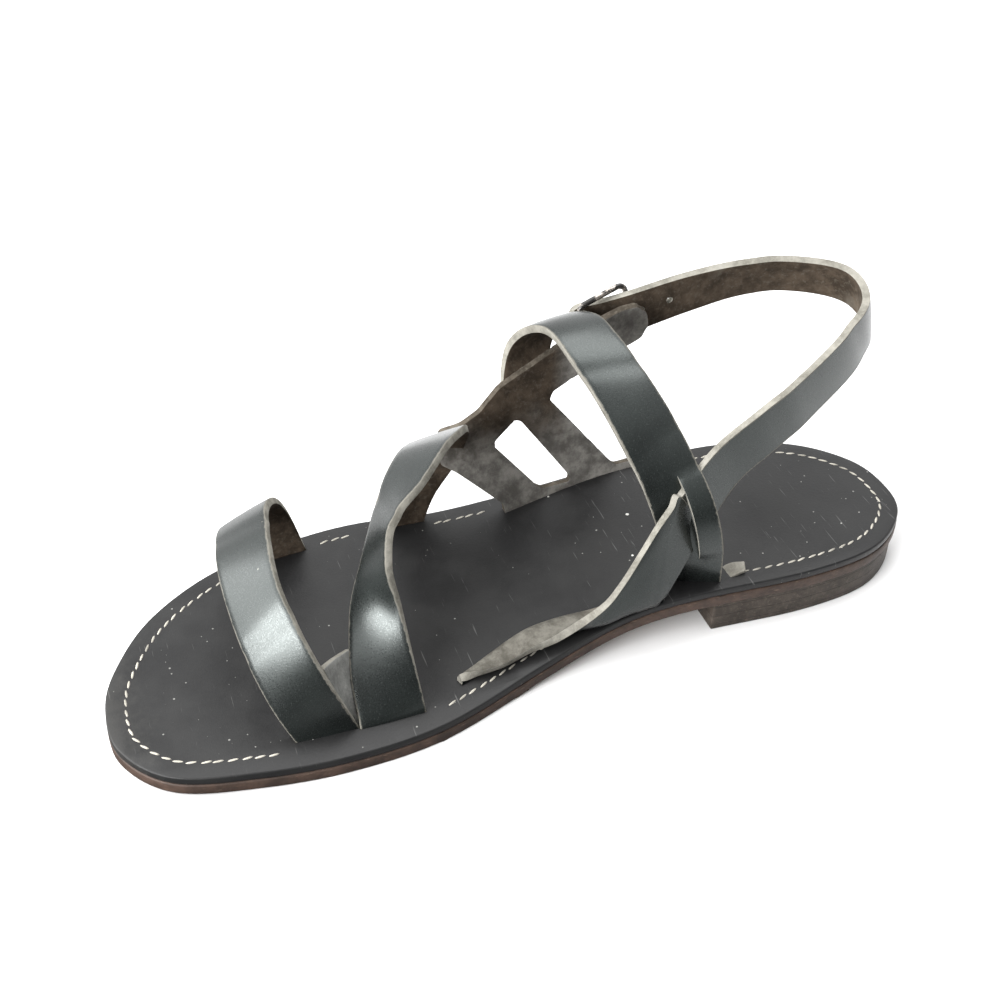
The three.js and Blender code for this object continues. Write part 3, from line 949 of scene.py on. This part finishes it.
def between(tree, value, low, high, start=0.0, end=1.0):
    inputs = {0: value, 1: low, 2: high, 3: start, 4: end}
    made = add_node(tree, "ShaderNodeMapRange", inputs, interpolation_type="SMOOTHSTEP")
    return made.outputs[0]


def figure(tree, operation, first, second=0.0):
    made = add_node(tree, "ShaderNodeMath", {0: first, 1: second}, operation=operation)
    return made.outputs[0]


def times(tree, first, second):
    return figure(tree, "MULTIPLY", first, second)


def plus(tree, first, second):
    return figure(tree, "ADD", first, second)


def on_piece(tree):
    return add_node(tree, "ShaderNodeTexCoord").outputs["Object"]


def axes_of(tree, vector):
    return add_node(tree, "ShaderNodeSeparateXYZ", {0: vector}).outputs


def cloud(tree, scale, detail=3.0, rough=0.55, vector=None):
    if vector is None:
        vector = on_piece(tree)
    inputs = {"Vector": vector, "Scale": scale, "Detail": detail, "Roughness": rough}
    return add_node(tree, "ShaderNodeTexNoise", inputs).outputs["Fac"]


def new_group(name, inputs, outputs):
    group = bpy.data.node_groups.new(name, "ShaderNodeTree")
    for label, value in inputs.items():
        socket = group.interface.new_socket(label, in_out="INPUT", socket_type="NodeSocketFloat")
        socket.default_value = value
    for label in outputs:
        group.interface.new_socket(label, in_out="OUTPUT", socket_type="NodeSocketFloat")
    start, end = group.nodes.new("NodeGroupInput"), group.nodes.new("NodeGroupOutput")
    return group, start.outputs, end.inputs


def placed(tree, group, **values):
    node = tree.nodes.new("ShaderNodeGroup")
    node.node_tree = group
    for label, value in values.items():
        node.inputs[label.replace("_", " ")].default_value = value
    return node.outputs


print("helpers ready")

# %% [markdown]
# Grain leather is covered in fine pores with flatter islands between them. Cells of about
# half a millimetre give the pores, finer noise breaks them up and says how rough each spot
# is, and a slow cloud stands for the patches where the hide took the dye differently.

# %% Node group: fine grain
def make_fine_grain():
    group, given, result = new_group(
        "fine grain", {"Pores per metre": 1700}, ["Height", "Pores", "Clouds"]
    )
    place = on_piece(group)
    cells = add_node(
        group, "ShaderNodeTexVoronoi", {"Vector": place, "Scale": given["Pores per metre"]}
    ).outputs["Distance"]
    fine = cloud(group, 2600, 2, 0.6, place)
    group.links.new(plus(group, times(group, cells, 0.6), fine), result["Height"])
    group.links.new(fine, result["Pores"])
    group.links.new(cloud(group, 55, 4, 0.6, place), result["Clouds"])
    return group


fine_grain = make_fine_grain()
print("group:", fine_grain.name)

# %% [markdown]
# Wear follows edges. The pieces carry their distance from the nearest edge in the second
# coordinate of the UV map "strip", so a worn line is a threshold on that distance, made
# ragged by noise.

# %% Node group: worn edge
def make_worn_edge():
    group, given, result = new_group("worn edge", {"Width": 0.0008, "Ragged": 0.8}, ["Mask"])
    apart = add_node(group, "ShaderNodeUVMap", uv_map="strip").outputs["UV"]
    distance = axes_of(group, apart)["Y"]
    noise = figure(group, "SUBTRACT", cloud(group, 650, 4, 0.7), 0.5)
    shift = times(group, times(group, noise, given["Ragged"]), 5.0)
    share = plus(group, figure(group, "DIVIDE", distance, given["Width"]), shift)
    group.links.new(between(group, share, 0.3, 1.1, 1.0, 0.0), result["Mask"])
    return group


worn_edge = make_worn_edge()
print("group:", worn_edge.name)

# %% [markdown]
# Dust and tiny nicks are sparse dots. Large cells each hold one dot, and the cell's own
# random colour sets its size, so most stay too small to see. Scratches are noise that is
# drawn out along one direction and cut off high, in two directions.

# %% Node groups: specks and scratches
def make_specks():
    group, given, result = new_group("specks", {"Per metre": 90, "Size": 0.1}, ["Mask"])
    place = on_piece(group)
    cells = add_node(group, "ShaderNodeTexVoronoi", {"Vector": place, "Scale": given["Per metre"]})
    chance = add_node(group, "ShaderNodeSeparateColor", {0: cells.outputs["Color"]}).outputs[0]
    reach = times(group, figure(group, "POWER", chance, 3.0), given["Size"])
    wobble = times(group, figure(group, "SUBTRACT", cloud(group, 1500, 2), 0.5), 0.04)
    distance = plus(group, cells.outputs["Distance"], wobble)
    depth = figure(group, "SUBTRACT", reach, distance)
    group.links.new(between(group, depth, 0.0, 0.012), result["Mask"])
    return group


def make_scratches():
    group, given, result = new_group("scratches", {"Scale": 90, "Amount": 0.5}, ["Mask"])
    place = on_piece(group)
    masks = []
    for turn, stretch in ((0.5, 16), (-0.9, 24)):
        drawn = add_node(group, "ShaderNodeMapping", {
            "Vector": place, "Rotation": (0, 0, turn), "Scale": (1, stretch, 4),
        }).outputs[0]
        noise = cloud(group, given["Scale"], 2, 0.5, drawn)
        masks.append(between(group, plus(group, noise, given["Amount"]), 1.18, 1.26))
    group.links.new(figure(group, "MAXIMUM", *masks), result["Mask"])
    return group


specks, scratches = make_specks(), make_scratches()
print("groups:", specks.name, "and", scratches.name)

# %% [markdown]
# The flesh side and the cut edge show loose fibres. Noise at two sizes gives a felted
# height, and a slower one gives the mottling of an unfinished hide.

# %% Node group: loose fibres
def make_fibres():
    group, given, result = new_group(
        "loose fibres", {"Fineness": 1300}, ["Height", "Mottle", "Fleck"]
    )
    place = on_piece(group)
    fine = cloud(group, given["Fineness"], 5, 0.75, place)
    group.links.new(fine, result["Height"])
    group.links.new(between(group, cloud(group, 160, 5, 0.7, place), 0.35, 0.68), result["Mottle"])
    group.links.new(between(group, fine, 0.5, 0.72), result["Fleck"])
    return group


fibres = make_fibres()
print("group:", fibres.name)

# %% [markdown]
# Each leather is a Principled material. The strap's outside is near black with a cold cast
# and a half gloss: the pores roughen it here and there, the edges have lost their dye, and
# a bump carries the grain. The shader's plain numbers stay on its own sockets.

# %% Strap leather, outside
def new_finish(name, rough, gloss=0.5, metal=0.0):
    finish = bpy.data.materials.new(name)
    finish.use_nodes = True
    shader = finish.node_tree.nodes["Principled BSDF"]
    shader.inputs["Roughness"].default_value = rough
    shader.inputs["Specular IOR Level"].default_value = gloss
    shader.inputs["Metallic"].default_value = metal
    return finish, finish.node_tree, shader


def give_bump(tree, shader, height, depth, strength=1.0):
    inputs = {"Height": height, "Distance": depth * MM, "Strength": strength}
    bump = add_node(tree, "ShaderNodeBump", inputs)
    tree.links.new(bump.outputs["Normal"], shader.inputs["Normal"])


def strap_outside():
    finish, tree, shader = new_finish("strap grain", 0.4, 0.55)
    shader.inputs["Specular Tint"].default_value = tint(0.93, 1.0, 0.98)
    grain = placed(tree, fine_grain, Pores_per_metre=1900)
    edge = placed(tree, worn_edge, Width=0.0005, Ragged=0.5)["Mask"]
    nicks = placed(tree, specks, Per_metre=260, Size=0.07)["Mask"]
    patches = between(tree, grain["Clouds"], 0.35, 0.7)
    hide = mixed(tree, patches, tint(0.006, 0.0073, 0.007), tint(0.011, 0.0132, 0.0125))
    hide = mixed(tree, between(tree, grain["Pores"], 0.62, 0.72), hide, tint(0.024, 0.028, 0.0265))
    hide = mixed(tree, edge, hide, tint(0.11, 0.102, 0.085))
    hide = mixed(tree, nicks, hide, tint(0.2, 0.195, 0.17))
    tree.links.new(hide, shader.inputs["Base Color"])
    rough = between(tree, grain["Pores"], 0.35, 0.65, 0.27, 0.36)
    tree.links.new(mixed_value(tree, edge, rough, 0.8), shader.inputs["Roughness"])
    give_bump(tree, shader, grain["Height"], 0.011)
    return finish


strap_grain = strap_outside()
print("finish:", strap_grain.name)

# %% [markdown]
# The inside is suede-like: brown where it was stained, greyer where it rubs, with no gloss
# at all. The cut edge is the pale core of the hide with dark flecks of dye in it. One
# function makes every fibrous finish from three colours. The root's flesh is its own,
# because its front end was pared thin and shows the pale core, and so is the side panel's,
# rubbed to a grey fuzz low down and at the back. The panel's edge took the stain, and the
# gusset's grain is rubbed through.

# %% Strap leather, inside and cut edge
def felted(name, dark, light, pale, pale_share=(0.62, 0.8), rough=0.95, fineness=700):
    finish, tree, shader = new_finish(name, rough, 0.15)
    loose = placed(tree, fibres, Fineness=fineness)
    body = mixed(tree, loose["Mottle"], dark, light)
    blotch = between(tree, cloud(tree, 60, 3), *pale_share)
    body = mixed(tree, blotch, body, pale)
    body = mixed(tree, times(tree, loose["Fleck"], 0.55), body, pale)
    tree.links.new(body, shader.inputs["Base Color"])
    give_bump(tree, shader, loose["Height"], 0.12)
    return finish, tree, shader, body


strap_flesh = felted(
    "strap flesh", tint(0.030, 0.022, 0.015), tint(0.075, 0.056, 0.040),
    tint(0.12, 0.105, 0.085),
)[0]
cut_edge = felted(
    "cut edge", tint(0.13, 0.124, 0.105), tint(0.25, 0.24, 0.21), tint(0.29, 0.28, 0.25),
    pale_share=(0.5, 0.9), fineness=1300,
)[0]


def root_inside():
    finish, tree, shader, body = felted(
        "root flesh", tint(0.06, 0.05, 0.04), tint(0.12, 0.105, 0.085), tint(0.2, 0.18, 0.15)
    )
    along = axes_of(tree, on_piece(tree))["Y"]
    grains = placed(tree, fibres, Fineness=900)
    bare = mixed(tree, grains["Mottle"], tint(0.06, 0.056, 0.047), tint(0.14, 0.133, 0.115))
    ragged = plus(tree, along, times(tree, cloud(tree, 120), 0.01))
    pared = between(tree, ragged, 0.012, 0.024, 1.0, 0.0)
    tree.links.new(mixed(tree, pared, body, bare), shader.inputs["Base Color"])
    return finish


def panel_inside():
    finish, tree, shader, body = felted(
        "panel flesh", tint(0.026, 0.019, 0.013), tint(0.06, 0.045, 0.032), tint(0.1, 0.085, 0.07)
    )
    place = axes_of(tree, on_piece(tree))
    grains = placed(tree, fibres, Fineness=900)
    fuzz = mixed(tree, grains["Mottle"], tint(0.11, 0.105, 0.096), tint(0.27, 0.26, 0.24))
    ragged = plus(tree, place["Z"], times(tree, cloud(tree, 90), 0.02))
    low_down = between(tree, ragged, 0.036, 0.056, 0.85, 0.0)
    far_back = between(tree, place["Y"], 0.022, 0.03, 0.0, 0.9)
    rubbed = figure(tree, "MAXIMUM", low_down, far_back)
    tree.links.new(mixed(tree, rubbed, body, fuzz), shader.inputs["Base Color"])
    return finish


root_flesh, panel_flesh = root_inside(), panel_inside()
stained_edge = felted(
    "stained edge", tint(0.035, 0.029, 0.022), tint(0.08, 0.068, 0.054), tint(0.15, 0.135, 0.11)
)[0]
rubbed_grain = felted(
    "rubbed grain", tint(0.13, 0.131, 0.125), tint(0.22, 0.222, 0.21), tint(0.3, 0.3, 0.285),
    rough=0.6,
)[0]
for finish in (strap_flesh, cut_edge, root_flesh, panel_flesh, stained_edge, rubbed_grain):
    print("finish:", finish.name)

# %% [markdown]
# The insole is waxed and walked on: satin, scratched where it was handled, dusty in specks,
# and rubbed pale along its rim and on the front of the toe.

# %% Insole leather
def insole_finish():
    finish, tree, shader = new_finish("insole grain", 0.45, 0.3)
    grain = placed(tree, fine_grain, Pores_per_metre=1100)
    rim = placed(tree, worn_edge, Width=0.0011, Ragged=1.0)["Mask"]
    dust = placed(tree, specks, Per_metre=110, Size=0.07)["Mask"]
    fine_dust = placed(tree, specks, Per_metre=420, Size=0.13)["Mask"]
    lines = placed(tree, scratches, Scale=75, Amount=0.48)["Mask"]
    along = axes_of(tree, on_piece(tree))["Y"]
    patches = between(tree, grain["Clouds"], 0.35, 0.7)
    hide = mixed(tree, patches, tint(0.0075, 0.0075, 0.0078), tint(0.013, 0.013, 0.013))
    ragged = plus(tree, along, times(tree, cloud(tree, 260, 4, 0.7), 0.03))
    toe_rub = between(tree, ragged, -0.108, -0.094, 0.4, 0.0)
    hide = mixed(tree, toe_rub, hide, tint(0.034, 0.033, 0.030))
    hide = mixed(tree, times(tree, lines, 0.35), hide, tint(0.16, 0.16, 0.155))
    hide = mixed(tree, rim, hide, tint(0.15, 0.13, 0.10))
    hide = mixed(tree, times(tree, fine_dust, 0.6), hide, tint(0.3, 0.3, 0.28))
    hide = mixed(tree, dust, hide, tint(0.5, 0.5, 0.47))
    tree.links.new(hide, shader.inputs["Base Color"])
    rough = mixed_value(tree, patches, 0.4, 0.52)
    tree.links.new(mixed_value(tree, rim, rough, 0.85), shader.inputs["Roughness"])
    give_bump(tree, shader, grain["Height"], 0.03)
    return finish


insole_grain = insole_finish()
print("finish:", insole_grain.name)

# %% [markdown]
# The outsole's edge is stained brown and scuffed back to tan in strokes that run along it;
# underneath it is bare sole leather, dirty from the ground. The heel block is a stack of
# the same leather, so its side is crossed by thin level lines, and its tread is dark.

# %% Sole leather
def outsole_finish():
    finish, tree, shader = new_finish("sole edge", 0.6, 0.35)
    loose = placed(tree, fibres, Fineness=800)
    facing = add_node(tree, "ShaderNodeNewGeometry").outputs["Normal"]
    stretched = {"Vector": on_piece(tree), "Scale": (1, 1, 6)}
    drawn = add_node(tree, "ShaderNodeMapping", stretched).outputs[0]
    strokes = between(tree, cloud(tree, 230, 5, 0.7, drawn), 0.58, 0.7)
    side = mixed(tree, loose["Mottle"], tint(0.030, 0.019, 0.014), tint(0.062, 0.038, 0.028))
    side = mixed(tree, times(tree, strokes, 0.4), side, tint(0.22, 0.15, 0.11))
    ground = mixed(tree, loose["Mottle"], tint(0.16, 0.10, 0.06), tint(0.30, 0.20, 0.13))
    lines = placed(tree, scratches, Scale=60, Amount=0.55)["Mask"]
    ground = mixed(tree, lines, ground, tint(0.07, 0.05, 0.04))
    under = between(tree, axes_of(tree, facing)["Z"], -0.85, -0.7, 1.0, 0.0)
    tree.links.new(mixed(tree, under, side, ground), shader.inputs["Base Color"])
    give_bump(tree, shader, loose["Height"], 0.08)
    return finish


HEEL_LAYER, FIRST_JOINT = 0.0034, 0.0016


def heel_finish():
    finish, tree, shader = new_finish("heel stack", 0.6, 0.35)
    loose = placed(tree, fibres, Fineness=900)
    up = axes_of(tree, on_piece(tree))["Z"]
    layers = figure(tree, "DIVIDE", plus(tree, up, FIRST_JOINT), HEEL_LAYER)
    lift = figure(tree, "FRACT", layers)
    from_middle = figure(tree, "ABSOLUTE", figure(tree, "SUBTRACT", lift, 0.5))
    joint = between(tree, from_middle, 0.44, 0.49)
    side = mixed(tree, loose["Mottle"], tint(0.024, 0.018, 0.013), tint(0.05, 0.039, 0.031))
    side = mixed(tree, times(tree, loose["Fleck"], 0.3), side, tint(0.2, 0.165, 0.13))
    side = mixed(tree, times(tree, joint, 0.7), side, tint(0.018, 0.013, 0.010))
    tread = between(tree, up, 0.0001, 0.0007, 1.0, 0.0)
    tree.links.new(mixed(tree, tread, side, tint(0.03, 0.027, 0.025)), shader.inputs["Base Color"])
    give_bump(tree, shader, figure(tree, "SUBTRACT", loose["Height"], joint), 0.1)
    return finish


sole_edge, heel_stack = outsole_finish(), heel_finish()
print("finishes:", sole_edge.name, heel_stack.name)

# %% [markdown]
# The thread is cream and waxed, soiled in places. The buckle was lacquered black, and the
# lacquer has worn through to bright steel where it rubs, so the mask that mixes the colour
# also turns the metal on.

# %% Thread and buckle metal
def thread_finish():
    finish, tree, shader = new_finish("waxed thread", 0.75, 0.3)
    loose = placed(tree, fibres, Fineness=2200)
    soiled = between(tree, cloud(tree, 90, 4), 0.42, 0.66)
    body = mixed(tree, soiled, tint(0.38, 0.36, 0.31), tint(0.17, 0.16, 0.135))
    body = mixed(tree, times(tree, loose["Mottle"], 0.3), body, tint(0.48, 0.46, 0.41))
    tree.links.new(body, shader.inputs["Base Color"])
    give_bump(tree, shader, loose["Height"], 0.06)
    return finish


def buckle_finish():
    finish, tree, shader = new_finish("worn lacquer", 0.3, 0.5)
    rubbed = between(tree, cloud(tree, 240, 5, 0.7), 0.5, 0.6)
    fine = cloud(tree, 1800, 3)
    body = mixed(tree, rubbed, tint(0.012, 0.011, 0.010), tint(0.55, 0.50, 0.45))
    tree.links.new(body, shader.inputs["Base Color"])
    tree.links.new(rubbed, shader.inputs["Metallic"])
    tree.links.new(between(tree, fine, 0.3, 0.7, 0.22, 0.42), shader.inputs["Roughness"])
    give_bump(tree, shader, fine, 0.02)
    return finish


thread, buckle_metal = thread_finish(), buckle_finish()
print("finishes:", thread.name, buckle_metal.name)

# %% [markdown]
# Each piece now gets its finish. A strip needs three, in the order that its wall expects:
# outside, inside, cut edge.

# %% Dress the pieces
for piece in STRAP_PIECES:
    inside = {root: root_flesh, flap: cut_edge, rail: panel_flesh}.get(piece, strap_flesh)
    outside = {flap: cut_edge, gusset: rubbed_grain}.get(piece, strap_grain)
    rim = stained_edge if piece is rail else cut_edge
    for finish in (outside, inside, rim):
        piece.data.materials.append(finish)
one_finish = (
    (outsole, sole_edge), (insole, insole_grain), (heel_block, heel_stack),
    (insole_seam, thread), (sole_seam, thread),
    (buckle_frame, buckle_metal), (buckle_prong, buckle_metal),
)
for piece, finish in one_finish:
    piece.data.materials.clear()
    piece.data.materials.append(finish)
print("dressed", len(STRAP_PIECES) + len(one_finish), "pieces")

# %% [markdown]
# Only now are the prong's holes punched, because the strap needs its three finishes before
# its wall is made solid: the wall of a hole then shows the cut edge.

# %% Punch the heel strap
heel_strap.modifiers.remove(heel_strap.modifiers["softened edges"])
carve(heel_strap, [punch("hole", strap_middle(along)) for along in HOLES_ALONG])
soften(heel_strap)
print("heel strap with its holes:", len(heel_strap.data.polygons), "faces")
